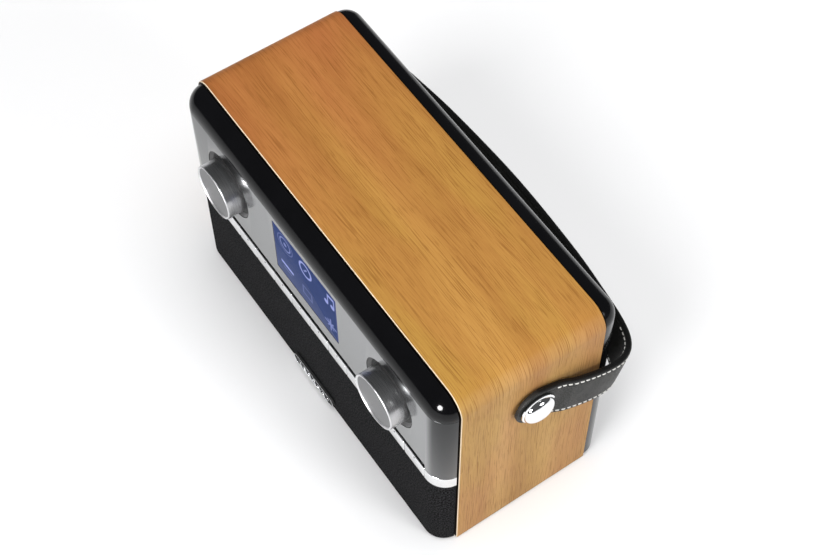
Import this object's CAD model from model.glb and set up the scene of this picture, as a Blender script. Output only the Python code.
from math import asin, cos, pi, radians, sin

import bmesh
import bpy
import numpy as np
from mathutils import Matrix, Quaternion, Vector


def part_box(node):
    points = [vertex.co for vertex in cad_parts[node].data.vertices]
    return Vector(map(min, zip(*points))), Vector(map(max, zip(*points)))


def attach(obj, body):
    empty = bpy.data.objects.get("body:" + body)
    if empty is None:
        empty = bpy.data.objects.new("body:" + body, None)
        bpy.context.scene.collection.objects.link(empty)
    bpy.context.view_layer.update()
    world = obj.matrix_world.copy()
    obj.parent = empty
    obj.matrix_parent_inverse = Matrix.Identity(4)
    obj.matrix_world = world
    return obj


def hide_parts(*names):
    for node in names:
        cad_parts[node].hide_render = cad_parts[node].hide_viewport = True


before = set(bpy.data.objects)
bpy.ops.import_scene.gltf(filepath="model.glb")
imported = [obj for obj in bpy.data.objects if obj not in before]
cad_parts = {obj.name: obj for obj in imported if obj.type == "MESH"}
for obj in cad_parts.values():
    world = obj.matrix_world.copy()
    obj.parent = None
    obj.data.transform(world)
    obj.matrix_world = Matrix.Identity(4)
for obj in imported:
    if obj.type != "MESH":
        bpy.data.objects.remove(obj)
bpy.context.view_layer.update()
mm = 0.001

# Places that everything else is measured from, all read from the frame
woodLow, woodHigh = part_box("wood_sleeve")
fasciaLow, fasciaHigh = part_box("fascia_panel")
bezelLow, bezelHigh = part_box("front_bezel")
coverLow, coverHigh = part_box("rear_cover")
keyLow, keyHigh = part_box("key_01")
lensLow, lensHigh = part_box("display_lens")
doorLow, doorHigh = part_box("battery_door")
middleY = (woodLow.y + woodHigh.y) / 2
front = {"half": coverHigh.x, "face": fasciaLow.y, "back": bezelLow.y + 11.8 * mm, "top": bezelHigh.z,
         "bottom": woodLow.z, "radius": 13.5 * mm, "sign": -1}
rear = {"half": coverHigh.x, "face": doorHigh.y, "back": doorHigh.y - 11.8 * mm, "top": coverHigh.z,
        "bottom": coverLow.z, "radius": 11.8 * mm, "sign": 1}
keyRow = 117.3 * mm  # half the length of the row between the fixed corner pieces
droop = radians(19)  # how far the strap hangs below level at rest


def middleOf(node):
    # a node's low and high corners, then the x and z of its middle
    low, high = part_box(node)
    return low, high, (low.x + high.x) / 2, (low.z + high.z) / 2


knobPlaces = {side: middleOf("knob_" + side)[2:] for side in ("left", "right")}
print("frame read, sleeve", [round(v / mm) for v in woodHigh - woodLow], "mm")


def grid(points, wrapU=False, wrapV=False, capU=False, capV=False, uv=None):
    # a surface from an n by m grid of points; each direction may close on itself or be capped flat
    points = np.asarray(points, float)
    n, m = points.shape[:2]
    rows, cols = (n if wrapU else n - 1), (m if wrapV else m - 1)
    i, j = (a.ravel() for a in np.meshgrid(np.arange(rows), np.arange(cols), indexing="ij"))
    corners = [(i, j), (i + 1, j), (i + 1, j + 1), (i, j + 1)]
    quads = np.stack([(a % n) * m + b % m for a, b in corners], -1)
    if uv is None:
        across, along = np.linspace(0, 1, n + 1), np.linspace(0, 1, m + 1)
        spots = [np.stack([across[a], along[b]], -1) for a, b in corners]
    else:
        spots = [uv[a, b] for a, b in corners]
    faces = quads.tolist()
    maps = np.stack(spots, 1).reshape(-1, 2).tolist()
    caps = []
    if capU:
        caps += [list(range(m))[::-1], [(n - 1) * m + k for k in range(m)]]
    if capV:
        caps += [[k * m for k in range(n)], [k * m + m - 1 for k in range(n)][::-1]]
    for cap in caps:
        maps += [[0, 0]] * len(cap)
    return points.reshape(-1, 3), faces + caps, maps


def piece(name, parts, material, stands=(), body="cabinet", sharp=35, welded=True):
    # one object from any number of surfaces; doubles at poles and seams are merged
    verts, faces, maps, base = [], [], [], 0
    for points, polygons, spots in parts:
        verts.append(points)
        faces += [[k + base for k in polygon] for polygon in polygons]
        maps += spots
        base += len(points)
    mesh = bpy.data.meshes.new(name)
    mesh.from_pydata(np.concatenate(verts).tolist(), [], faces)
    layer = mesh.uv_layers.new(name="UVMap")
    layer.data.foreach_set("uv", np.asarray(maps, "f").ravel())
    if welded:
        work = bmesh.new()
        work.from_mesh(mesh)
        bmesh.ops.remove_doubles(work, verts=work.verts, dist=2e-6)
        bmesh.ops.dissolve_degenerate(work, dist=1e-7, edges=work.edges)
        bmesh.ops.recalc_face_normals(work, faces=work.faces)
        work.to_mesh(mesh)
        work.free()
    made = bpy.data.objects.new(name, mesh)
    bpy.context.collection.objects.link(made)
    mesh.materials.append(material)
    soften(made, sharp)
    if body:
        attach(made, body)
    for node in stands:
        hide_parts(node)
    return made


def soften(made, sharp):
    made.data.shade_smooth()
    made.data.set_sharp_from_angle(angle=radians(sharp))


def ease(made, width, steps=2, angle=40):
    # rounded edges wherever two faces meet at more than the angle
    bevel = made.modifiers.new("ease", "BEVEL")
    bevel.width = width
    bevel.segments = steps
    bevel.limit_method = "ANGLE"
    bevel.angle_limit = radians(angle)
    bevel.harden_normals = True
    return made


def carve(made, cutters, sharp=35):
    # cuts the cutters' parts out of a piece, as holes and recesses are milled
    tool = piece("cutter", cutters, made.data.materials[0], body=None)
    cut = made.modifiers.new("carve", "BOOLEAN")
    cut.object = tool
    cut.operation = "DIFFERENCE"
    cut.solver = "EXACT"
    graph = bpy.context.evaluated_depsgraph_get()
    mesh = bpy.data.meshes.new_from_object(made.evaluated_get(graph))
    made.modifiers.clear()
    made.data = mesh
    bpy.data.objects.remove(tool)
    soften(made, sharp)
    return made


def loopRect(halfWidth, halfHeight, radius, steps=6):
    # closed rectangle with rounded corners: four quarter circles joined by straight sides
    turns = np.concatenate([np.linspace(k, k + 1, steps + 1) for k in range(4)]) * pi / 2
    side = np.repeat([[1, 1], [-1, 1], [-1, -1], [1, -1]], steps + 1, 0)
    centre = side * [halfWidth - radius, halfHeight - radius]
    return centre + radius * np.stack([np.cos(turns), np.sin(turns)], -1)


def lathe(profile, centre, axis="y", steps=64):
    # profile of (radius, distance along the axis) carried round the axis; the ends on the axis close it
    profile = np.asarray(profile, float)
    turn = np.linspace(0, 2 * pi, steps, endpoint=False)
    ring = np.stack([np.cos(turn), np.sin(turn)], -1)
    flat = profile[None, :, 0, None] * ring[:, None]
    along = np.broadcast_to(profile[None, :, 1], flat.shape[:2])
    order = {"x": (along, flat[..., 0], flat[..., 1]), "y": (flat[..., 0], along, flat[..., 1]),
             "z": (flat[..., 0], flat[..., 1], along)}[axis]
    return grid(np.stack(order, -1) + np.asarray(centre), wrapU=True)


def inMm(pairs, start=0.0):
    # pairs of (radius or inset, distance) in mm as metres, with the distance counted on from a start
    return [(first * mm, start + second * mm) for first, second in pairs]


def quarterRound(radius, inset, level, steps):
    # quarter circle of (inset, height), from upright to flat; level is the height of its centre
    return [(inset + radius * (1 - cos(t)), level + radius * sin(t))
            for t in np.linspace(0, pi / 2, steps)]


def stacked(outline, depths):
    # one row of points for each (inset, depth) step: the outline at that inset, with the depth beside it
    return np.array([np.column_stack([outline(inset), np.full(len(outline(inset)), depth)])
                     for inset, depth in depths])


def plate(outline, depths, place):
    # the stacked outline capped at both ends; place turns it into the model
    return grid(place(stacked(outline, depths)), wrapV=True, capU=True)


def facing(middleX, middleZ, face, sign):
    # lays an outline on the front (sign -1) or rear (sign 1): depth is counted outwards from the face
    def place(p):
        return np.stack([p[..., 0] + middleX, face + sign * p[..., 2], p[..., 1] + middleZ], -1)
    return place


def cutRound(x, z, radius, y0, y1, steps=64):
    return lathe([(0, y0), (radius, y0), (radius, y1), (0, y1)], (x, 0, z), "y", steps)


def cutBox(x0, x1, y0, y1, z0, z1, radius=0.0002, steps=2):
    outline = lambda inset: loopRect((x1 - x0) / 2, (z1 - z0) / 2, radius, steps)
    return plate(outline, [(0, y0), (0, y1)], facing((x0 + x1) / 2, (z0 + z1) / 2, 0, 1))


def cutAround(low, high, gap, y0, y1, radius, steps):
    return cutBox(low.x - gap, high.x + gap, y0, y1, low.z - gap, high.z + gap, radius, steps)


def planRoute(module, fromX=None, toX=None, corner=14):
    # plan of a module from its left rear edge round both corners to its right one, with outward normals
    radius, sign, half, face, back = (module[key] for key in ("radius", "sign", "half", "face", "back"))
    centreY = face - sign * radius
    reach = sign * (back - centreY)
    start = asin(min(1, reach / radius)) if reach > 0 else 0
    turn = np.linspace(start, pi / 2, corner + 1)
    right = np.stack([half - radius + radius * np.cos(turn), centreY + sign * radius * np.sin(turn)], -1)
    normal = np.stack([np.cos(turn), sign * np.sin(turn)], -1)
    if reach < 0:
        right = np.vstack([[half, back], right])
        normal = np.vstack([[1, 0], normal])
    flip = np.array([-1, 1])
    straightX = np.linspace(-1, 1, 31)[1:-1] * (half - radius)
    straight = np.stack([straightX, np.full(29, face)], -1)
    points = np.vstack([right * flip, straight, right[::-1]])
    normals = np.vstack([normal * flip, np.tile([0, sign], (29, 1)), normal[::-1]])
    if fromX is not None:
        keep = points[:, 0] > fromX + 1e-6
        points, normals = np.vstack([[[fromX, face]], points[keep]]), np.vstack([[[0, sign]], normals[keep]])
    if toX is not None:
        keep = points[:, 0] < toX - 1e-6
        points, normals = np.vstack([points[keep], [[toX, face]]]), np.vstack([normals[keep], [[0, sign]]])
    return points, normals


def wrap(module, section, **route):
    # a closed section of (inset, height) carried along a module's plan and capped at both ends
    points, normals = planRoute(module, **route)
    section = np.asarray(section, float)
    flat = points[:, None] - normals[:, None] * section[None, :, :1]
    limit = np.minimum if module["sign"] < 0 else np.maximum
    flat[..., 1] = limit(flat[..., 1], module["back"])
    height = np.broadcast_to(section[None, :, 1], flat.shape[:2])
    along = np.r_[0, np.cumsum(np.hypot(*np.diff(points, axis=0).T))]
    around = np.r_[0, np.cumsum(np.hypot(*np.diff(np.vstack([section, section[:1]]), axis=0).T))]
    uv = np.stack(np.meshgrid(along, around, indexing="ij"), -1)
    return grid(np.dstack([flat, height]), wrapV=True, capU=True, uv=uv)


def bandSection(inset, thickness, low, high, radius, steps=4):
    # rounded bar between two heights whose outer face is inset from the module's face
    radius = min(radius, thickness / 2 - 1e-6)
    loop = loopRect(thickness / 2, (high - low) / 2, radius, steps)
    return loop + [inset + thickness / 2, (low + high) / 2]


class Wire:
    # a socket that can be used in sums; every operator adds a Math node
    def __init__(self, sheet, socket):
        self.sheet, self.socket = sheet, socket

    def math(self, operation, *others):
        return self.sheet.node("ShaderNodeMath", {"operation": operation}, dict(enumerate((self,) + others)))

    def __add__(self, other): return self.math("ADD", other)
    def __sub__(self, other): return self.math("SUBTRACT", other)
    def __mul__(self, other): return self.math("MULTIPLY", other)
    def __pow__(self, other): return self.math("POWER", other)
    def __abs__(self): return self.math("ABSOLUTE")
    def __rsub__(self, other): return self.sheet.value(other).math("SUBTRACT", self)
    __radd__, __rmul__ = __add__, __mul__

    def least(self, other): return self.math("MINIMUM", other)
    def most(self, other): return self.math("MAXIMUM", other)
    def below(self, edge, soft): return self.sheet.spread(self, edge + soft, edge - soft)
    def above(self, edge, soft): return self.sheet.spread(self, edge - soft, edge + soft)


class Sheet:
    # one material with its Principled shader; constants go straight on the shader's own sockets
    def __init__(self, name, **constants):
        self.material = bpy.data.materials.new(name)
        self.material.use_nodes = True
        self.tree = self.material.node_tree
        self.shader = self.tree.nodes["Principled BSDF"]
        for key, value in constants.items():
            self.shader.inputs[key.replace("_", " ")].default_value = value
        self.places = {}

    def node(self, kind, settings=None, sockets=None, output=0):
        made = self.tree.nodes.new(kind)
        for key, value in (settings or {}).items():
            if key == "stops":
                ramp = made.color_ramp.elements
                while len(ramp) < len(value):
                    ramp.new(0.5)
                for stop, (position, colour) in zip(ramp, value):
                    stop.position = position
                    stop.color = (*colour, 1)
            else:
                setattr(made, key, value)
        for key, value in (sockets or {}).items():
            self.feed(made.inputs[key], value)
        return Wire(self, made.outputs[output])

    def feed(self, socket, value):
        if isinstance(value, Wire):
            self.tree.links.new(value.socket, socket)
        elif isinstance(value, (tuple, list)) and socket.type == "RGBA":
            socket.default_value = (*value[:3], 1)
        else:
            socket.default_value = value

    def value(self, number):
        made = self.tree.nodes.new("ShaderNodeValue")
        made.outputs[0].default_value = number
        return Wire(self, made.outputs[0])

    def place(self, source):
        # the x, y and z of a coordinate set, Object or UV, as three wires
        if source not in self.places:
            coords = self.node("ShaderNodeTexCoord", output=source)
            self.places[source] = [self.node("ShaderNodeSeparateXYZ", None, {0: coords}, k)
                                   for k in range(3)]
        return self.places[source]

    def vector(self, x, y, z=0.0):
        return self.node("ShaderNodeCombineXYZ", None, {0: x, 1: y, 2: z})

    def noise(self, vector, detail=2.0, roughness=0.5, kind="3D"):
        return self.node("ShaderNodeTexNoise", {"noise_dimensions": kind},
                         {"Vector": vector, "Scale": 1.0, "Detail": detail, "Roughness": roughness})

    def cloud(self, scale, detail=2.0):
        # noise on the piece's own coordinates, the same in every direction
        return self.noise(self.vector(*(axis * scale for axis in self.place("Object"))), detail)

    def spread(self, wire, low, high, start=0.0, end=1.0):
        return self.node("ShaderNodeMapRange", {"interpolation_type": "SMOOTHSTEP"},
                         {"Value": wire, "From Min": low, "From Max": high, "To Min": start, "To Max": end})

    def mix(self, factor, first, second, blend="MIX"):
        return self.node("ShaderNodeMix", {"data_type": "RGBA", "blend_type": blend},
                         {0: factor, 6: first, 7: second}, 2)

    def bump(self, height, strength, distance):
        return self.node("ShaderNodeBump", None,
                         {"Height": height, "Strength": strength, "Distance": distance})

    def finish(self, tone, dark, bright, low, high, soft, dull, normal=None):
        # colour runs from dark to bright with the tone, and roughness from soft to dull between low and high
        links = {"Normal": normal} if normal else {}
        return self.shade(Base_Color=self.mix(tone, dark, bright),
                          Roughness=self.spread(tone, low, high, soft, dull), **links)

    def shade(self, **links):
        for key, value in links.items():
            self.feed(self.shader.inputs[key.replace("_", " ")], value)
        return self.material


def veneer(name, gradient):
    # sliced cherry: slow figure, fine fibres and short open pores, all running along U
    s = Sheet(name, IOR=1.14)
    u, v, _ = s.place("UV")
    x, y, _ = s.place("Object")
    across = v + (s.noise(s.vector(u * 7, v * 30), detail=2) - 0.5) * 0.008
    figure = s.noise(s.vector(u * 3, across * 45), detail=1.5)
    golden = s.noise(s.vector(u * 6, across * 24, 5.0), detail=2)
    fibre = s.noise(s.vector(u * 30, across * 1300), detail=3, roughness=0.6)
    long = s.noise(s.vector(u * 30, across * 1500, 3.0), detail=1.5).above(0.61, 0.03)
    short = s.noise(s.vector(u * 75, across * 1800, 7.0), detail=1).above(0.64, 0.03)
    wood = s.node("ShaderNodeValToRGB", {"stops": [
        (0.32, (0.335, 0.146, 0.036)), (0.46, (0.40, 0.188, 0.047)),
        (0.56, (0.45, 0.225, 0.056)), (0.72, (0.52, 0.275, 0.074))]}, {0: figure * 0.6 + fibre * 0.4})
    red = s.mix(s.spread(x, 0.06, -0.15), (1, 1, 1), gradient)
    cheek = s.mix(abs(x).above(0.129, 0.004), red, (1.15, 1.25, 1.9))
    warm = s.mix(1.0, wood, cheek, "MULTIPLY")
    drifted = s.mix(s.spread(golden, 0.4, 0.62), warm, (0.99, 1.09, 0.97), "MULTIPLY")
    pores = (long * 0.5).most(short * 0.42)
    marked = s.mix(pores, drifted, (0.19, 0.068, 0.014))
    arris = s.mix(y.below(woodLow.y + 0.5 * mm, 0.12 * mm) * 0.9, marked, (0.9, 0.76, 0.56))
    sealed = s.mix(y.below(woodLow.y + 0.03 * mm, 0.02 * mm), arris, (0.012, 0.007, 0.004))
    height = fibre * 0.25 + (1 - pores) * 0.5
    return s.shade(Base_Color=sealed, Roughness=s.spread(fibre, 0.2, 0.8, 0.38, 0.52),
                   Normal=s.bump(height, 0.35, 0.00012))


def glossBlack(name, roughness=0.1):
    # polished moulding with the faintest flow and dust-fine haze
    s = Sheet(name, IOR=1.3)
    return s.finish(s.cloud(40, 3), (0.0022, 0.0022, 0.0026), (0.005, 0.005, 0.006), 0.3, 0.7, roughness,
                    roughness + 0.05)


def mattBlack(name, low=0.012, high=0.024, roughness=0.6):
    # moulded plastic with a fine spark-eroded grain
    s = Sheet(name)
    grain = s.cloud(1800)
    return s.finish(grain, (low, low, low), (high, high, high), 0.3, 0.7, roughness - 0.1, roughness + 0.1,
                    s.bump(grain, 0.3, 0.00006))


def silverPanel():
    # bright sheet, polished before a thin lacquer, darker to the left and where it turns the corners
    s = Sheet("silverPanelFinish", Metallic=1.0)
    x, y, z = s.place("Object")
    haze = s.noise(s.vector(x * 25, y * 25, z * 60), detail=3)
    base = s.mix(haze, (0.25, 0.255, 0.258), (0.272, 0.276, 0.28))
    left = s.mix(s.spread(x, -0.03, -0.12), base, (0.135, 0.138, 0.14))
    shade = s.mix(abs(x).above(0.1205, 0.003), left, (0.045, 0.046, 0.047))
    return s.shade(Base_Color=shade, Roughness=s.spread(haze, 0.3, 0.7, 0.1, 0.15))


def metal(name, dark, bright, roughness, scale=400.0):
    # plain metal with a soft smear
    s = Sheet(name, Metallic=1.0)
    return s.finish(s.cloud(scale, 3), dark, bright, 0.3, 0.7, roughness * 0.8, roughness * 1.25)


def turnedBarrel(name):
    # satin turned metal: hair-fine rings spaced along the axis
    s = Sheet(name, Metallic=1.0)
    _, y, _ = s.place("Object")
    rings = s.noise(s.vector(y * 6000, 0.0), detail=2, kind="2D")
    tone = rings * 0.6 + s.cloud(60, 1) * 0.4
    return s.shade(Base_Color=s.mix(tone, (0.38, 0.38, 0.387), (0.54, 0.54, 0.548)),
                   Roughness=s.spread(rings, 0.2, 0.8, 0.24, 0.32))


def spunFace(name, centreX, centreZ):
    # lathe-turned disc: fine rings about the knob's own axis over a soft cloud
    s = Sheet(name, Metallic=1.0)
    x, _, z = s.place("Object")
    dx, dz = x - centreX, z - centreZ
    radius = (dx * dx + dz * dz) ** 0.5
    rings = s.noise(s.vector(radius * 9000, 0.0), detail=2, kind="2D")
    speck = s.noise(s.vector(dx * 2600, dz * 2600), detail=2, kind="2D")
    return s.shade(Base_Color=s.mix(rings * 0.5 + speck * 0.5, (0.08, 0.08, 0.083), (0.24, 0.24, 0.244)),
                   Roughness=s.spread(rings, 0.2, 0.8, 0.34, 0.48), Normal=s.bump(rings, 0.4, 0.00004))


def acousticCloth():
    # plain weave: warp and weft are sines of one period, 0.62 mm, under a slubby noise
    s = Sheet("acousticClothFinish", IOR=1.08)
    u, v, _ = s.place("UV")
    pace = 2 * pi / (0.62 * mm)
    weave = ((u * pace).math("SINE") * (v * pace).math("SINE")) * 0.5 + 0.5
    slub = s.noise(s.vector(u * 950, v * 950), detail=2, roughness=0.7, kind="2D")
    cloud = s.noise(s.vector(u * 60, v * 60), detail=3, kind="2D")
    tone = weave * 0.15 + s.spread(slub, 0.42, 0.6) * 0.75 + cloud * 0.1
    return s.finish(tone, (0.0, 0.0, 0.0002), (0.038, 0.038, 0.04), 0.2, 0.8, 0.75, 0.95,
                    s.bump(weave * 0.7 + slub * 0.3, 0.5, 0.00012))


def hide(name, low, high, ink):
    # dyed leather: pebbled cells with creases across the strap, and inked edges
    s = Sheet(name, Specular_IOR_Level=0.3)
    x, y, z = s.place("Object")
    u, v, _ = s.place("UV")
    pebble = s.node("ShaderNodeTexVoronoi", {"feature": "DISTANCE_TO_EDGE"},
                    {"Vector": s.vector(x, y, z), "Scale": 900.0, "Randomness": 1.0})
    cells = pebble.above(0.12, 0.12)
    crease = s.noise(s.vector(u * 420, v * 60), detail=3, kind="2D")
    tone = cells * 0.4 + s.cloud(90, 3) * 0.35 + crease * 0.25
    pivotZ = middleOf("strap_stud_left")[3]
    level = abs((y - middleY) * sin(droop) + (z - pivotZ) * cos(droop))
    inked = s.mix(level.above(12.9 * mm, 0.3 * mm), s.mix(tone, low, high), ink)
    return s.shade(Base_Color=inked, Roughness=s.spread(tone, 0.2, 0.8, 0.62, 0.42),
                   Normal=s.bump(cells * 0.7 + crease * 0.3, 0.45, 0.00018))


def thread():
    # waxed thread whose plies are a sine along one slant
    s = Sheet("threadFinish", Sheen_Weight=0.3)
    x, y, z = s.place("Object")
    twist = ((x + y - z) * 9000).math("SINE") * 0.5 + 0.5
    return s.finish(twist, (0.62, 0.6, 0.56), (0.9, 0.89, 0.86), 0, 1, 0.8, 0.65, s.bump(twist, 0.5, 0.0001))


def litDisplay():
    # dark glass over a lit panel: a violet-blue field, pale rim light and six plain signs
    s = Sheet("litDisplayFinish", Base_Color=(0.01, 0.012, 0.03, 1), Roughness=0.12, IOR=1.05,
              Specular_IOR_Level=0.5, Emission_Strength=1.0)
    ox, _, oz = s.place("Object")
    x, z = ox * 1000, (oz - (lensLow.z + lensHigh.z) / 2) * 1000
    halfX, halfZ = (lensHigh.x - lensLow.x) * 500, (lensHigh.z - lensLow.z) * 500
    soft = 0.35

    def at(cx, cz):
        return x - cx, z - cz

    def disc(cx, cz, radius):
        dx, dz = at(cx, cz)
        return ((dx * dx + dz * dz) ** 0.5).below(radius, soft)

    def ring(cx, cz, radius, width):
        dx, dz = at(cx, cz)
        return abs((dx * dx + dz * dz) ** 0.5 - radius).below(width / 2, soft)

    def strip(cx, cz, width, height, lean=0.0):
        dx, dz = at(cx, cz)
        c, n = cos(lean), sin(lean)
        return abs(dx * c + dz * n).below(width / 2, soft) * abs(dz * c - dx * n).below(height / 2, soft)

    def frameSign(cx, cz, width, height, line):
        return strip(cx, cz, width, height) * (1 - strip(cx, cz, width - 2 * line, height - 2 * line))

    note = disc(22.2, 9.6, 2.0).most(disc(28.4, 10.6, 2.0)).most(strip(23.8, 14, 0.9, 8.6))
    note = note.most(strip(30, 15, 0.9, 8.6)).most(strip(26.9, 18.6, 7, 2.2, 0.16))
    star = strip(25, -12, 12, 1.3).most(strip(25, -12, 1.3, 12)).most(strip(25, -12, 9, 1.1, pi / 4))
    star = star.most(strip(25, -12, 9, 1.1, -pi / 4))
    bright = ring(1, 13, 5.8, 1.6).most(note).most(strip(-20, -10, 13, 2.2))
    mid = star.most(disc(-20, 13, 1.5)).most(ring(-20, 13, 5.2, 1.0)).most(strip(1, 13, 5.5, 1.2, 0.9))
    faint = frameSign(1, -11, 10, 8.5, 1.0).most(strip(-20, -14, 9, 1.1)).most(ring(-20, 13, 7.6, 0.7))
    signs = (bright * 0.95).most(mid * 0.6).most(faint * 0.3)
    rim = (halfX - abs(x)).least(halfZ - abs(z)).below(0.5, 0.7)
    cloud = s.noise(s.vector(x * 0.06, z * 0.06), detail=2, kind="2D")
    field = s.mix(cloud, (0.012, 0.031, 0.115), (0.024, 0.048, 0.165))
    glow = s.mix(rim * 0.4, field, (0.26, 0.25, 0.4))
    return s.shade(Emission_Color=s.mix(signs, glow, (0.32, 0.37, 0.74)))


def circuitBoard():
    # lacquered board: square cells stand for its tracks and pads
    s = Sheet("circuitBoardFinish", Roughness=0.4)
    cells = s.node("ShaderNodeTexVoronoi", {"distance": "MANHATTAN"},
                   {"Vector": s.vector(*s.place("Object")), "Scale": 220.0}, 1)
    return s.shade(Base_Color=s.mix(cells, (0.01, 0.07, 0.03), (0.03, 0.16, 0.07)))


def wrapSleeve():
    # shrunk film over the battery pack, slightly wrinkled
    s = Sheet("batteryWrapFinish", Roughness=0.35)
    cloud = s.cloud(120, 3)
    return s.shade(Base_Color=s.mix(cloud, (0.02, 0.05, 0.2), (0.04, 0.09, 0.32)),
                   Normal=s.bump(cloud, 0.3, 0.0002))


woodFinish = veneer("veneerFinish", (0.9, 0.64, 0.85))
blackFinish = glossBlack("glossBlackFinish")
coverFinish = glossBlack("coverBlackFinish", 0.12)
mattFinish = mattBlack("mattBlackFinish")
rubberFinish = mattBlack("rubberFinish", 0.01, 0.02, 0.8)
slotFinish = mattBlack("slotBlackFinish", 0.002, 0.004, 0.7)
silverFinish = silverPanel()
chromeFinish = metal("chromeFinish", (0.8, 0.81, 0.82), (0.9, 0.905, 0.91), 0.06, 60)
keyFinish = metal("keyChromeFinish", (0.72, 0.725, 0.73), (0.82, 0.823, 0.826), 0.16, 300)
steelFinish = metal("steelFinish", (0.35, 0.35, 0.36), (0.55, 0.55, 0.56), 0.3)
barrelFinish = turnedBarrel("knobBarrelFinish")
rimFinish = metal("knobRimFinish", (0.62, 0.62, 0.63), (0.7, 0.7, 0.71), 0.42, 500)
collarFinish = mattBlack("collarFinish", 0.08, 0.11, 0.45)
clothFinish = acousticCloth()
leatherFinish = hide("leatherFinish", (0.006, 0.006, 0.0058), (0.03, 0.0305, 0.028), (0.004, 0.004, 0.004))
threadFinish = thread()
displayFinish = litDisplay()
boardFinish = circuitBoard()
packFinish = wrapSleeve()
print("materials made")


def sleevePiece():
    # U-shaped sheet: profile round the outside and back along the inside, carried from front to rear
    spec = {"corner": 13.5 * mm, "wall": 9 * mm, "easing": 0.55 * mm, "arc": 16}
    half, top, low = woodHigh.x, woodHigh.z, woodLow.z

    def arch(inset):
        corner = spec["corner"] - inset
        turn = np.linspace(0, pi / 2, spec["arc"] + 1)
        right = np.stack([half - inset - corner + corner * np.cos(turn),
                          top - inset - corner + corner * np.sin(turn)], -1)
        sides = low + (top - spec["corner"] - low) * np.linspace(0, 1, 7)[:-1]
        up = np.vstack([np.stack([np.full(6, half - inset), sides], -1), right])
        crown = np.linspace(1, -1, 15)[1:-1] * (half - spec["corner"])
        flat = np.stack([crown, np.full(13, top - inset)], -1)
        return np.vstack([up, flat, up[::-1] * [-1, 1]])

    outer, easing = arch(0), spec["easing"]
    length = np.r_[0, np.cumsum(np.hypot(*np.diff(outer, axis=0).T))]
    turn = np.linspace(0, pi / 2, 5)
    edge = [(easing * (1 - sin(t)), woodLow.y + easing * (1 - cos(t))) for t in turn]
    edge += [(0, y) for y in np.linspace(woodLow.y + easing, woodHigh.y - easing, 9)[1:-1]]
    edge += [(easing * (1 - cos(t)), woodHigh.y - easing * (1 - sin(t))) for t in turn]
    edge += [(spec["wall"], woodHigh.y), (spec["wall"], woodLow.y)]
    rows = stacked(arch, edge)[..., [0, 2, 1]]
    uv = np.array([[(s, y + 0.2 + inset) for s in length] for inset, y in edge + edge[:1]])
    piece("veneeredSleeve", [grid(rows, wrapU=True, capV=True, uv=uv)], woodFinish,
          ["wood_sleeve"])


def trimPiece():
    # top of the front moulding: a quarter round whose corners become eighths of a ball
    spec = {"gap": 0.3 * mm, "lip": 0.35 * mm}
    radius, low, lip = front["radius"], fasciaHigh.z + spec["gap"], spec["lip"]
    section = [(radius - 1e-5, low), (lip, low), (lip * 0.3, low + lip * 0.3), (0, low + lip)]
    section += quarterRound(radius, 0, front["top"] - radius, 17)
    piece("topTrim", [wrap(front, section, corner=20)], blackFinish, ["front_bezel"])


def corePiece():
    # dark body of the moulding behind the panel, the keys and the cloth, with room for the knobs' plungers
    spec = {"plungerRoom": 1.2 * mm, "holeReach": 15 * mm, "edge": 0.2 * mm}
    low, high = keyLow.z - 0.6 * mm, fasciaLow.z + 5.4 * mm
    bars = [(2, 9, high, fasciaHigh.z + 0.2 * mm), (6.2, 5, low - 1 * mm, high + 1 * mm),
            (4.3, 7, front["bottom"] + 0.3 * mm, low)]
    parts = [wrap(front, bandSection(inset * mm, thick * mm, start, end, spec["edge"]))
             for inset, thick, start, end in bars]
    core = piece("frontCore", parts, slotFinish)
    holes = []
    for side, (x, z) in knobPlaces.items():
        start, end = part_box("encoder_plunger_" + side)
        holes.append(cutRound(x, z, (end.x - start.x) / 2 + spec["plungerRoom"], start.y - spec["holeReach"],
                              end.y + spec["holeReach"]))
    carve(core, holes)
    ledge = [wrap(front, bandSection(0.25 * mm, 6 * mm, low - 0.6 * mm, low + 0.1 * mm, 0.1 * mm))]
    piece("grilleLedge", ledge, slotFinish)


def fasciaPiece():
    # thin sheet round the front, cut out over the key row, the display and the knobs' dishes
    spec = {"thickness": 1.5 * mm, "dish": 22 * mm, "gap": 0.3 * mm, "keyCut": 5.2 * mm}
    section = bandSection(0, spec["thickness"], fasciaLow.z, fasciaHigh.z, 0.25 * mm)
    made = piece("fasciaSheet", [wrap(front, section, corner=20)], silverFinish,
                 ["fascia_panel"])
    y0, y1 = front["face"] - 5 * mm, front["face"] + 5 * mm
    cutters = [cutBox(-keyRow, keyRow, y0, y1, fasciaLow.z - 5 * mm, fasciaLow.z + spec["keyCut"]),
               cutAround(lensLow, lensHigh, spec["gap"], y0, y1, 0.8 * mm, 4)]
    cutters += [cutRound(x, z, spec["dish"], y0, y1, 96) for x, z in knobPlaces.values()]
    ease(carve(made, cutters), 0.2 * mm)


def lensPiece():
    # window with a shallow eased edge, its face just behind the panel's
    spec = {"corner": 0.7, "depths": [(0, -1.5), (0, -0.35), (0.12, -0.2), (0.4, -0.15)]}
    halfX, halfZ = (lensHigh.x - lensLow.x) / 2, (lensHigh.z - lensLow.z) / 2
    outline = lambda inset: loopRect(halfX - inset, halfZ - inset,
                                     max(spec["corner"] * mm - inset, 0.1 * mm))
    place = facing(0, (lensLow.z + lensHigh.z) / 2, front["face"], -1)
    piece("displayGlass", [plate(outline, inMm(spec["depths"]), place)], displayFinish,
          ["display_lens"])


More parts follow.
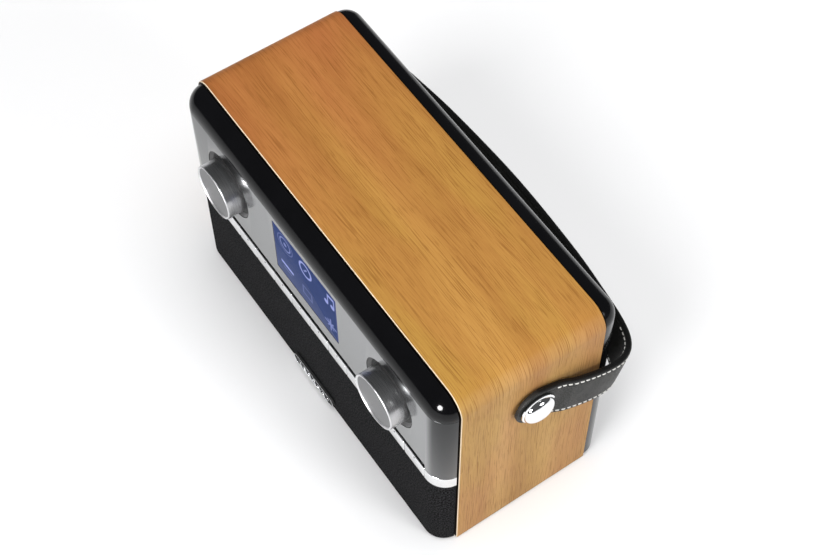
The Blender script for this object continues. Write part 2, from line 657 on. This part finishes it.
def knobPieces(side):
    # barrel, polished rim and spun face of one knob, with the dished collar and the well it sits in; the
    # profiles are (radius, distance) in mm, from the knob's tip or from the panel's face
    node = "knob_" + side
    low, high, x, z = middleOf(node)
    r, back, face = (high.x - low.x) / 2 / mm, (high.y - low.y) / mm, front["face"]
    spec = {"bore": 3.4, "bead": 0.5, "beadInset": 0.62, "wellBore": 4.8, "collar": 18.3}
    bore, bead, bend = spec["bore"], spec["bead"], np.linspace(0, pi, 13)
    barrel = [(bore, back), (r - 0.6, back), (r - 0.1, back - 0.5), (r, back - 1.2), (r, 1),
              (r - 0.15, 0.62), (r - 0.5, 0.5), (r - 2, 0.9), (bore, 4), (bore, back)]
    rim = [(r - spec["beadInset"] + bead * cos(t), bead - bead * sin(t)) for t in bend]
    rim = [(r - 2, 1.1), (r - 0.12, 0.75)] + rim + [(r - 1.3, 0.7), (r - 2, 1.1)]
    disc = [(0, 1.6), (r - 1.4, 1.6), (r - 1.4, 0.72), (0, 0.62)]
    collar = [(18.5, 4), (21.2, 0.4), (21.5, 0.16), (21.75, 0.3), (21.75, 1.6), (18.6, 5.5)]
    collar = [(spec["collar"], 4.3)] + collar + [(spec["collar"], 4.3)]
    hole = spec["wellBore"]
    well = [(hole, 4.5), (18.4, 4.5), (18.4, 5.4), (hole, 5.4), (hole, 4.5)]
    discFinish = spunFace("knobFaceFinish_" + side, x, z)
    for name, profile, steps, material, stands in (("knobBarrel_", barrel, 128, barrelFinish, [node]),
                                                   ("knobRim_", rim, 128, rimFinish, []),
                                                   ("knobFace_", disc, 96, discFinish, [])):
        turned = lathe(inMm(profile, low.y), (x, 0, z), steps=steps)
        piece(name + side, [turned], material, stands, node)
    dish = lathe(inMm(collar, face), (x, 0, z), steps=96)
    piece("knobCollar_" + side, [dish], collarFinish, ["knob_recess_" + side])
    piece("knobWell_" + side, [lathe(inMm(well, face), (x, 0, z))], slotFinish)


def keyPieces():
    # twelve push keys with eased edges and a small raised dot, between two fixed corner pieces
    spec = {"easing": 0.45 * mm, "corner": 0.6 * mm, "dot": 0.7, "dotDrop": 2 * mm, "stem": (3 * mm, 2 * mm)}
    easing, turn = spec["easing"], np.linspace(0, pi / 2, 5)
    depths = [(0, -3 * mm), (0, -easing)]
    depths += [(easing * (1 - cos(t)), easing * (sin(t) - 1)) for t in turn[1:]]
    stem = lambda inset: loopRect(*spec["stem"], 0.3 * mm, 4)
    for index in range(1, 13):
        node = f"key_{index:02d}"
        low, high, x, z = middleOf(node)
        outline = lambda inset: loopRect((high.x - low.x) / 2 - inset, (high.z - low.z) / 2 - inset,
                                         max(spec["corner"] - inset, 0.05 * mm), 4)
        place = facing(x, z, low.y, -1)
        parts = [plate(outline, depths, place), plate(stem, [(0, -8.8 * mm), (0, -2.8 * mm)], place)]
        piece(f"pushKey_{index:02d}", parts, keyFinish, [node], node)
        dot = inMm([(0, 0.05), (spec["dot"], 0.05), (spec["dot"] * 0.75, -0.1), (0, -0.13)], low.y)
        piece(f"keyDot_{index:02d}", [lathe(dot, (x, 0, high.z - spec["dotDrop"]), steps=16)], mattFinish,
              body=node)
    for side, limits in (("left", {"toX": -keyRow}), ("right", {"fromX": keyRow})):
        section = bandSection(0, 1.6 * mm, keyLow.z, keyHigh.z, 0.4 * mm, 5)
        piece("keyCorner_" + side, [wrap(front, section, corner=20, **limits)], keyFinish,
              ["key_trim_" + side])


def grillePieces():
    # cloth wrapped round the front, and a plain plate: a bright border and a wave on a dark field
    spec = {"clothInset": 0.3 * mm, "cloth": 1.2 * mm, "end": 3.8 * mm, "border": 0.45 * mm,
            "waves": [{"level": 0.35, "swing": 2.1, "pace": 1.2, "thick": 0.62, "proud": 0.9},
                      {"level": -2.9, "swing": 0.1, "pace": 0.5, "thick": 0.3, "proud": 0.35}],
            "plate": [(0, -1.2), (0, 0), (0.12, 0.25), (0.35, 0.35), (0.8, 0.35), (1.0, 0.25), (1.05, 0)]}
    low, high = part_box("grille_cloth")
    section = bandSection(spec["clothInset"], spec["cloth"], low.z, high.z, 0.5 * mm, 5)
    piece("grilleCloth", [wrap(front, section, corner=20)], clothFinish,
          ["grille_cloth"], sharp=60)
    low, high, middleX, middleZ = middleOf("badge_plate")
    halfX, halfZ = (high.x - low.x) / 2, (high.z - low.z) / 2
    outline = lambda inset: loopRect(halfX - inset, halfZ - inset, halfZ - inset - 0.05 * mm, 12)
    place = facing(middleX, middleZ, low.y, -1)
    piece("badgePlate", [plate(outline, inMm(spec["plate"]), place)], mattFinish,
          ["badge_plate"])
    turn = np.linspace(0, 2 * pi, 8, endpoint=False)
    x = np.linspace(-halfX + 4 * mm, halfX - 4 * mm, 181)
    ripples = []
    for wave in spec["waves"]:
        z = middleZ + wave["level"] * mm + wave["swing"] * mm * np.sin(x / mm * wave["pace"])
        taper = np.sqrt(np.clip(1 - (np.abs(x) / (halfX - spec["end"])) ** 4, 0.02, 1)) * wave["thick"] * mm
        y = low.y - 0.3 * mm - wave["proud"] * mm * np.sin(turn)
        rows = np.stack([np.broadcast_to(x[:, None], (181, 8)), np.broadcast_to(y, (181, 8)),
                         z[:, None] + taper[:, None] * np.cos(turn)], -1)
        ripples.append(grid(rows, wrapV=True, capU=True))
    band = [(spec["border"] - 0.3 * mm * cos(t), 0.15 * mm + 0.28 * mm * sin(t)) for t in turn]
    ripples.append(grid(place(stacked(outline, band)), wrapU=True, wrapV=True))
    piece("badgeRipples", ripples, chromeFinish)


def coverPieces():
    # glossy rear cover with vents, a battery bay, sockets, screw wells and the aerial's seat
    spec = {"wall": 2.5 * mm, "gap": 0.3 * mm, "vents": 12, "ventPitch": 5 * mm, "ventLow": 84 * mm,
            "ventHigh": 100 * mm, "screwHole": 4 * mm, "aerialHole": 7.8 * mm, "screwWell": (5.5, 3.1),
            "aerialWell": (9.5, 2.4), "restAt": 157 * mm, "bayWall": 1.8, "bayDepth": 34.5}
    radius, top, bottom, face = rear["radius"], rear["top"], rear["bottom"], rear["face"]
    wall, gap = spec["wall"], spec["gap"]
    outer = quarterRound(radius, 0, top - radius, 15)
    inner = quarterRound(radius - wall, wall, top - radius, 15)
    section = [(0.4 * mm, bottom), (0, bottom + 0.4 * mm)] + outer + inner[::-1] + [(wall, bottom)]
    made = piece("rearCover", [wrap(rear, section, corner=18)], coverFinish,
                 ["rear_cover"])
    y0, y1 = face - 6 * mm, face + 6 * mm
    cutters = [cutAround(doorLow, doorHigh, gap, y0, y1, 0.8 * mm, 3)]
    for k in range(spec["vents"]):
        x = (k - (spec["vents"] - 1) / 2) * spec["ventPitch"]
        cutters.append(cutBox(x - 1 * mm, x + 1 * mm, y0, y1, bottom + spec["ventLow"],
                              bottom + spec["ventHigh"], 0.99 * mm, 4))
    for node in ("power_socket", "headphone_socket", "line_in_socket"):
        low, high, x, z = middleOf(node)
        cutters.append(cutRound(x, z, (high.x - low.x) / 2 + gap, y0, y1))
    screws = [middleOf(f"cover_screw_{k}")[2:] for k in range(1, 5)]
    cutters += [cutRound(x, z, spec["screwHole"], y0, y1, 48) for x, z in screws]
    pivotX, pivotZ = middleOf("aerial_swivel")[2:]
    cutters.append(cutRound(pivotX, pivotZ, spec["aerialHole"], y0, y1))
    ease(carve(made, cutters), 0.25 * mm)

    points, normals = planRoute(rear)
    plan = points - 2.4 * mm * normals
    floor = stacked(lambda inset: plan, [(0, bottom + 0.1 * mm), (0, bottom + wall)])
    parts = [grid(floor, wrapV=True, capU=True)]
    wells = [(pivotX, pivotZ, spec["aerialWell"])] + [(*at, spec["screwWell"]) for at in screws]
    for x, z, (r, depth) in wells:
        parts.append(lathe(inMm([(0, -4.5), (r, -4.5), (r, -depth), (0, -depth)], face), (x, 0, z)))
    restX, restTop = pivotX + spec["restAt"], pivotZ - 3.1 * mm
    parts.append(cutBox(restX - 4 * mm, restX + 4 * mm, face - 1 * mm, face + 4.6 * mm, restTop - 2.4 * mm,
                        restTop, 0.6 * mm, 4))
    piece("coverFittings", parts, coverFinish)
    halfX, halfZ = (doorHigh.x - doorLow.x) / 2 + gap, (doorHigh.z - doorLow.z) / 2 + gap
    outline = lambda inset: loopRect(halfX - inset, halfZ - inset, 1.5 * mm, 4)
    place = facing(0, (doorLow.z + doorHigh.z) / 2, face - 2 * mm, 1)
    out, deep = -spec["bayWall"], -spec["bayDepth"]
    walls = stacked(outline, inMm([(out, -0.5), (out, deep), (0, deep), (0, -0.5)]))
    parts = [grid(place(walls), wrapU=True, wrapV=True),
             plate(outline, inMm([(out, deep - 1.5), (out, deep + 0.1)]), place)]
    piece("batteryBay", parts, mattFinish)


def doorPiece():
    # flat lid with a thumb notch at its upper edge and a row of grip slots below
    spec = {"corner": 1.1 * mm, "notch": 7 * mm, "slots": 5, "slotPitch": 2.4, "firstSlot": 14,
            "slotHalf": 14 * mm, "depths": [(0.3, -2.4), (0, -2.1), (0, -0.3), (0.1, -0.08), (0.35, 0)]}
    face, top = rear["face"], doorHigh.z
    halfX, halfZ = (doorHigh.x - doorLow.x) / 2, (top - doorLow.z) / 2
    outline = lambda inset: loopRect(halfX - inset, halfZ - inset, spec["corner"], 5)
    place = facing(0, (doorLow.z + top) / 2, face, 1)
    made = piece("batteryDoor", [plate(outline, inMm(spec["depths"]), place)], coverFinish,
                 ["battery_door"], "battery_door")
    cutters = [cutRound(0, top, spec["notch"], face - 1 * mm, face + 2 * mm)]
    for k in range(spec["slots"]):
        z = top - (spec["firstSlot"] + spec["slotPitch"] * k) * mm
        cutters.append(cutBox(-spec["slotHalf"], spec["slotHalf"], face - 0.5 * mm, face + 2 * mm, z,
                              z + 1 * mm, 0.45 * mm, 3))
    ease(carve(made, cutters), 0.2 * mm)


def smallRearPieces():
    # sockets with a metal ring and a pin, and cross-slotted screws; profiles in mm from the outer faces
    spec = {"sockets": [("power_socket", 3.2, 1), ("headphone_socket", 1.8, 0), ("line_in_socket", 1.8, 0)],
            "slits": [(2.1, 0.35, 1.3), (0.35, 2.1, 1.2)],
            "head": [(0, -11), (1.6, -11), (1.6, -2.4), (3.5, -2.4), (3.6, -1.2), (3.1, -0.4), (2, 0),
                     (0, 0)]}
    for node, bore, pin in spec["sockets"]:
        low, high, x, z = middleOf(node)
        flange = (high.x - low.x) / 2 / mm
        body = [(0, -9), (bore, -9), (bore, -0.3), (bore + 0.3, 0), (flange - 0.3, 0), (flange, -0.3),
                (flange, -12), (0, -12)]
        ring = [(bore + 0.9, 0.22), (bore + 0.15, 0.1), (bore + 0.1, -1.5), (bore + 0.3, -1.5),
                (bore + 1.2, -0.1), (bore + 0.9, 0.22)]
        piece("jackBody_" + node, [lathe(inMm(body, high.y), (x, 0, z))], mattFinish,
              [node])
        piece("jackRing_" + node, [lathe(inMm(ring, high.y), (x, 0, z))], steelFinish)
        if pin:
            needle = inMm([(0, -9.2), (pin, -9.2), (pin, -2.6), (pin * 0.6, -2.1), (0, -2)], high.y)
            piece("jackPin", [lathe(needle, (x, 0, z), steps=24)], steelFinish)
    for k in range(1, 5):
        node = f"cover_screw_{k}"
        low, high, x, z = middleOf(node)
        head = lathe(inMm(spec["head"], high.y), (x, 0, z), steps=40)
        screw = piece(f"coverScrew_{k}", [head], steelFinish, [node])
        for wide, tall, deep in spec["slits"]:  # one at a time, because the two cross each other
            carve(screw, [cutBox(x - wide * mm, x + wide * mm, high.y - deep * mm, high.y + 1 * mm,
                                 z - tall * mm, z + tall * mm)])


def aerialPieces():
    # swivelling foot with two ears, and three tubes that slide in each other
    spec = {"ear": 2.6 * mm, "earInner": 3.2 * mm, "earOuter": 5 * mm, "tube": 2.8, "middle": 2,
            "tip": 1.2, "wall": 0.5}
    x, z = middleOf("aerial_swivel")[2:]
    midLow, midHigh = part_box("aerial_middle")
    rodY, face, ear = (midLow.y + midHigh.y) / 2, rear["face"], spec["ear"]
    parts = [lathe(inMm([(0, -2), (7.5, -2), (7.5, -0.2), (7.1, 0.2), (0, 0.3)], face), (x, 0, z))]
    turn = np.linspace(0, pi, 13)
    cheek = np.stack([x + ear * np.cos(turn), rodY + ear * np.sin(turn)], -1)
    cheek = np.vstack([[x + ear, face - 0.5 * mm], cheek, [x - ear, face - 0.5 * mm]])
    for sign in (-1, 1):
        levels = [(0, z + sign * spec["earInner"]), (0, z + sign * spec["earOuter"])]
        parts.append(grid(stacked(lambda inset: cheek, levels), wrapV=True, capU=True))
    parts.append(lathe(inMm([(0, -5.3), (1, -5.3), (1, 5.3), (0, 5.3)], z), (x, rodY, 0), "z", 20))
    ease(piece("aerialFoot", parts, mattFinish, ["aerial_swivel"], "aerial_foot"), 0.15 * mm)

    def tube(name, body, node, radius, start, end, bore, extra=()):
        radius, wall = radius * mm, spec["wall"] * mm
        profile = [(0, bore), (radius - wall, bore), (radius - wall, end), (radius - 0.1 * mm, end),
                   (radius, end - 0.2 * mm), (radius, start), (0, start)]
        piece(name, [lathe(profile, (0, rodY, z), "x", 32), *extra], chromeFinish, [node], body)

    knuckle = [(1.25, -2.6), (2.5, -2.6), (2.8, -2.2), (2.8, 2.2), (2.5, 2.6), (1.25, 2.6), (1.25, -2.6)]
    extra = [lathe(inMm(knuckle, z), (x, rodY, 0), "z", 32),
             lathe(inMm([(0, 1.4), (1.6, 1.4), (1.8, 5.2), (0, 5.2)], x), (0, rodY, z), "x", 24)]
    tube("aerialTube", "aerial_rod", "aerial_tube", spec["tube"], x + 5 * mm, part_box("aerial_tube")[1].x,
         x + 9 * mm, extra)
    tube("aerialMiddle", "aerial_middle", "aerial_middle", spec["middle"], midLow.x, midHigh.x,
         midLow.x + 3 * mm)
    tipLow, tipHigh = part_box("aerial_tip")
    shaft, knob = spec["tip"], [(2.3, -6), (2.8, -5.4), (2.8, -1.6), (2.2, -0.5), (0, 0)]
    profile = [(0, tipLow.x), (shaft * mm, tipLow.x)] + inMm([(shaft, -6)] + knob, tipHigh.x)
    piece("aerialTip", [lathe(profile, (0, rodY, z), "x", 32)], chromeFinish, ["aerial_tip"],
          "aerial_tip")


def strapRoute(samples):
    # Catmull-Rom curve through hand-chosen points in the strap's own plane, as the frame's strap follows
    spec = {"standoff": 0.6 * mm, "sheet": 4 * mm, "end": 13 * mm, "straight": 12 * mm, "reach": 29.9 * mm}
    half, back = woodHigh.x, rear["face"] - middleY
    side = half + spec["standoff"] + spec["sheet"] / 2
    behind = back + spec["reach"] - spec["sheet"] / 2
    right = [(side, -spec["end"]), (side, spec["straight"]), (half + 5 * mm, back - 35 * mm),
             (half + 6 * mm, back - 15 * mm), (half + 3.8 * mm, back), (half - 3.6 * mm, back + 10.4 * mm),
             (half - 17.5 * mm, behind - 11.3 * mm), (half - 41 * mm, behind - 7 * mm),
             (half - 75 * mm, behind - 2.7 * mm)]
    route = np.array(right + [(0, behind)] + [(-x, y) for x, y in right[::-1]])
    spot = samples * (len(route) - 1)
    index = np.minimum(spot.astype(int), len(route) - 2)
    t = (spot - index)[:, None]
    before, start = route[np.maximum(index - 1, 0)], route[index]
    end, after = route[index + 1], route[np.minimum(index + 2, len(route) - 1)]
    v0, v1 = (end - before) / 2, (after - start) / 2
    cubic, square = 2 * start - 2 * end + v0 + v1, -3 * start + 3 * end - 2 * v0 - v1
    return cubic * t ** 3 + square * t ** 2 + v0 * t + start


def intoPlace(points):
    # from the strap's own plane to the model: turned by the droop about the studs' axis
    pivotZ = middleOf("strap_stud_left")[3]
    x, y, z = points[..., 0], points[..., 1], points[..., 2]
    c, s = cos(droop), sin(droop)
    return np.stack([x, middleY + y * c + z * s, pivotZ - y * s + z * c], -1)


def strapPieces():
    # leather band of rounded section swept along the route, its stitches, and the two domed studs
    spec = {"halfWidth": 13.7 * mm, "half": 2 * mm, "edge": 1.5 * mm, "inset": 2.4 * mm, "groove": 0.3 * mm,
            "grooveWidth": 0.75 * mm, "crown": 0.15 * mm, "pitch": 3.8 * mm, "stitch": 2.8 * mm,
            "threadRadius": 0.5 * mm, "innerReach": 98 * mm, "stud": 9.9 * mm, "studRise": 4.6 * mm}
    fine = strapRoute(np.linspace(0, 1, 4000))
    length = np.r_[0, np.cumsum(np.hypot(*np.diff(fine, axis=0).T))]
    total, reach = length[-1], spec["halfWidth"]

    def at(distance):
        # points at distances along the route, and their normals in its plane
        behind, point, ahead = (np.stack([np.interp(distance + step * mm, length, fine[:, k])
                                          for k in (0, 1)], -1) for step in (-0.3, 0, 0.3))
        along = (ahead - behind) / np.linalg.norm(ahead - behind, axis=-1, keepdims=True)
        return point, np.stack([along[..., 1], -along[..., 0]], -1)

    rounding = reach * (1 - np.cos(np.linspace(0, pi / 2, 15)))
    distance = np.r_[rounding, np.linspace(reach, total - reach, 231)[1:-1], total - rounding[::-1]]
    nearEnd = np.minimum(distance, total - distance)
    narrow = np.sqrt(np.clip(1 - (np.clip(reach - nearEnd, 0, reach) / reach) ** 2, 0, 1))
    width = np.linspace(-1, 1, 41)
    z = np.sign(width) * (1 - (1 - np.abs(width)) ** 1.5) * spec["halfWidth"]

    def thickness(z):
        # half the section's thickness: round edges, a stitch groove near each and a slight crown
        rim = np.clip((np.abs(z) - (spec["halfWidth"] - spec["edge"])) / spec["edge"], 0, 1)
        full = spec["half"] - spec["edge"] + spec["edge"] * np.sqrt(1 - rim ** 2)
        stitchLine = (np.abs(z) - (spec["halfWidth"] - spec["inset"])) / spec["grooveWidth"]
        crown = spec["crown"] * (1 - (z / spec["halfWidth"]) ** 2)
        return full - spec["groove"] * np.exp(-stitchLine ** 2) - spec["crown"] + crown

    level = np.concatenate([z, z[::-1][1:-1]])
    offset = np.concatenate([thickness(z), -thickness(z)[::-1][1:-1]])
    point, normal = at(distance)
    endFade = np.minimum(1, 0.35 + 0.65 * narrow)
    flat = point[:, None] + normal[:, None] * (offset[None] * endFade[:, None])[..., None]
    rows = intoPlace(np.dstack([flat, level[None] * narrow[:, None]]))
    around = np.r_[0, np.cumsum(np.abs(np.diff(level)) + np.abs(np.diff(offset)))]
    uv = np.stack(np.meshgrid(distance, np.r_[around, around[-1] + 0.3 * mm], indexing="ij"), -1)
    piece("leatherStrap", [grid(rows, wrapV=True, uv=uv)], leatherFinish, ["strap"], "strap", 60)

    # stitches: short capsules sunk at both ends, in a row along each edge of both faces
    stitches = []
    _, outward = at(np.array([total / 2]))
    outerFace = 1 if outward[0, 1] > 0 else -1  # the side away from the cabinet
    reach = spec["halfWidth"] - spec["inset"]
    starts = np.arange(reach + 12 * mm, total - reach - 12 * mm, spec["pitch"])
    around = np.linspace(0, 2 * pi, 8, endpoint=False)
    step = np.linspace(0, 1, 7)
    bulge = np.sqrt(np.clip(1 - (2 * step - 1) ** 4, 0, 1))
    for face in (1, -1):
        outer = face == outerFace
        kept = starts if outer else starts[np.minimum(starts, total - starts) < spec["innerReach"]]
        point, normal = at(kept[:, None] + step * spec["stitch"])
        depth = face * (thickness(np.array(reach)) - 0.15 * mm + 0.25 * mm * bulge)
        ring = spec["threadRadius"] * (1 if outer else 0.7) * (0.25 + 0.75 * bulge)
        lift = (depth[:, None] + ring[:, None] * np.cos(around))[None, ..., None]
        flat = point[:, :, None] + normal[:, :, None] * lift
        for edge in (1, -1):
            height = np.broadcast_to(edge * reach + ring[:, None] * np.sin(around), flat.shape[:3])
            capsules = intoPlace(np.concatenate([flat, height[..., None]], -1))
            stitches += [grid(capsule, wrapV=True, capU=True) for capsule in capsules]
    piece("strapStitches", stitches, threadFinish, body="strap", sharp=80)

    skirt = [(0, 22), (6.5, 22), (6.5, 20.4), (4, 20.4), (4, 6), (10.8, 6), (11, 5.7), (10.9, 5.2),
             (10.2, 4.9)]
    for side, sign in (("left", -1), ("right", 1)):
        low, high, _, pivotZ = middleOf("strap_stud_" + side)
        apex = high.x if sign > 0 else low.x
        profile = [(r * mm, apex - sign * d * mm) for r, d in skirt]
        profile += [(spec["stud"] * cos(t), apex - sign * spec["studRise"] * (1 - sin(t)))
                    for t in np.linspace(0, pi / 2, 17)]
        stud = lathe(profile, (0, (low.y + high.y) / 2, pivotZ), "x", 72)
        piece("strapStud_" + side, [stud], chromeFinish, ["strap_stud_" + side])


def feetPieces():
    # turned rubber feet, a little narrower at the floor
    spec = {"profile": [(5.6, 0), (6.4, 0.3), (6.8, 1)], "top": 7 * mm}
    for place in ("front_left", "front_right", "rear_left", "rear_right"):
        low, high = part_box("foot_" + place)
        profile = [(0, low.z)] + inMm(spec["profile"], low.z) + [(spec["top"], high.z), (0, high.z)]
        centre = ((low.x + high.x) / 2, (low.y + high.y) / 2, 0)
        piece("rubberFoot_" + place, [lathe(profile, centre, "z", 48)], rubberFinish,
              ["foot_" + place])


def dressNodes():
    # carried-over nodes keep their own meshes and only get a finish
    looks = {"base_panel": mattFinish, "display_module": mattFinish, "grille_frame": mattFinish,
             "battery_pack": packFinish, "main_board": boardFinish, "key_board": boardFinish}
    for side in ("left", "right"):
        looks.update({"knob_shaft_" + side: steelFinish, "encoder_" + side: steelFinish,
                      "encoder_plunger_" + side: mattFinish, "speaker_frame_" + side: steelFinish,
                      "speaker_cone_" + side: slotFinish})
    for node, material in looks.items():
        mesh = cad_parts[node].data
        mesh.materials.clear()
        mesh.materials.append(material)


sleevePiece()
trimPiece()
corePiece()
fasciaPiece()
lensPiece()
print("cabinet and panel made")
for side in knobPlaces:
    knobPieces(side)
keyPieces()
grillePieces()
print("knobs, keys and grille made")
coverPieces()
doorPiece()
smallRearPieces()
aerialPieces()
print("rear made")
strapPieces()
feetPieces()
dressNodes()
print("strap, feet and inside made")


def stageAndLight():
    # matt floor, a faint even world and four round lamps aimed at the cabinet
    spec = {"floor": 8.0, "world": 0.09, "lights": [
        {"name": "overheadSoft", "at": (0.2, 0.1, 3.0), "size": 3.0, "power": 80.0, "only": "diffuse"},
        {"name": "frontSoft", "at": (0.6, -1.9, 2.1), "size": 1.2, "power": 38.0, "only": "diffuse"},
        {"name": "sparkLight", "at": (0.55, -1.09, 0.60), "size": 0.46, "power": 32.0, "only": "glossy"},
        {"name": "sideLight", "at": (1.35, 0.45, 0.85), "size": 0.6, "power": 7.5, "only": None}]}
    half = spec["floor"] / 2
    corners = np.array([[[-half, -half, 0], [-half, half, 0]], [[half, -half, 0], [half, half, 0]]])
    s = Sheet("floorFinish", Specular_IOR_Level=0.2)
    x, y, z = s.place("Object")
    cloud = s.noise(s.vector(x * 3, y * 3, z), detail=2)
    paper = s.shade(Base_Color=s.mix(cloud, (0.9, 0.9, 0.905), (0.93, 0.93, 0.935)), Roughness=0.7)
    floor = piece("studioFloor", [grid(corners)], paper, body=None, welded=False)
    if floor.data.polygons[0].normal.z < 0:
        floor.data.flip_normals()
    world = bpy.data.worlds.new("studio")
    world.use_nodes = True
    colour, strength = world.node_tree.nodes["Background"].inputs[:2]
    colour.default_value, strength.default_value = (0.96, 0.98, 1, 1), spec["world"]
    bpy.context.scene.world = world
    for light in spec["lights"]:
        lamp = bpy.data.lights.new(light["name"], "AREA")
        lamp.shape = "DISK"
        lamp.size = light["size"]
        lamp.energy = light["power"]
        made = bpy.data.objects.new(light["name"], lamp)
        made.location = light["at"]
        made.rotation_euler = (Vector((0, 0, 0.08)) - made.location).to_track_quat("-Z", "Y").to_euler()
        for kind in ("diffuse", "glossy"):
            setattr(made, "visible_" + kind, light["only"] in (None, kind))
        bpy.context.collection.objects.link(made)


def cameraMade():
    # placed from the sleeve's middle, looking down over the right front corner
    spec = {"from": Vector((0.44615, -0.28954, 0.91548)), "azimuth": 55.605, "elevation": 57.80,
            "roll": -0.22, "lens": 72.42}
    lens = bpy.data.cameras.new("camera")
    lens.lens = spec["lens"]
    lens.sensor_width = 36
    lens.clip_start = 0.05
    made = bpy.data.objects.new("camera", lens)
    a, e = radians(spec["azimuth"]), radians(spec["elevation"])
    back = Vector((sin(a) * cos(e), -cos(a) * cos(e), sin(e)))
    made.location = spec["from"] + Vector((0, middleY, woodLow.z))
    turn = (-back).to_track_quat("-Z", "Y") @ Quaternion((0, 0, 1), radians(spec["roll"]))
    made.rotation_euler = turn.to_euler()
    bpy.context.collection.objects.link(made)
    bpy.context.scene.camera = made


stageAndLight()
cameraMade()
bpy.context.scene.view_settings.view_transform = "Standard"
print("stage set")
